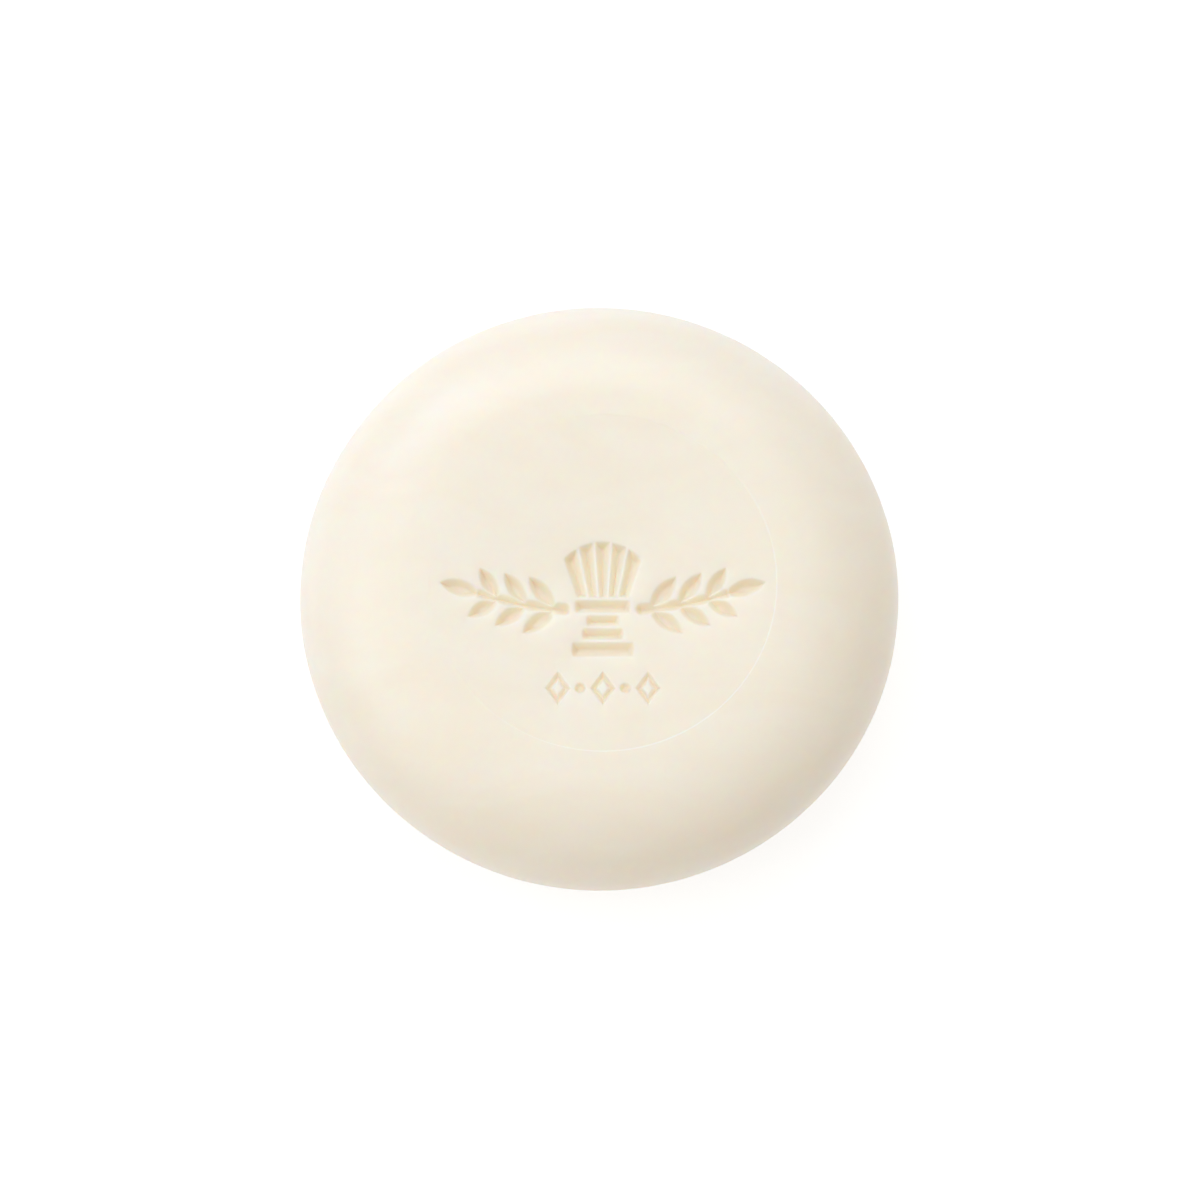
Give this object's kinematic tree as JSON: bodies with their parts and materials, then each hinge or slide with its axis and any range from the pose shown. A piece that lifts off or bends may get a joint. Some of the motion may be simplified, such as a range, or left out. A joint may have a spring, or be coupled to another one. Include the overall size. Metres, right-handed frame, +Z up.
{
  "type": "shaving soap puck",
  "caption": "Round pressed cake of ivory shaving soap with rounded shoulders, a dished face and a sunk shaving-brush emblem, lying on its flat side.",
  "frame": {"origin": "centre of the flat resting face, on the axis of the cake", "axes": "+Z up out of the stamped face, +Y towards the top of the emblem, +X to the emblem's right"},
  "size_m": [0.0802, 0.0802, 0.0207],
  "materials": {
    "soap": "smooth pressed milled soap, satin and faintly waxy, slightly translucent at thin edges"
  },
  "bodies": {
    "root": {"soap_puck": "soap"}
  },
  "joints": []
}
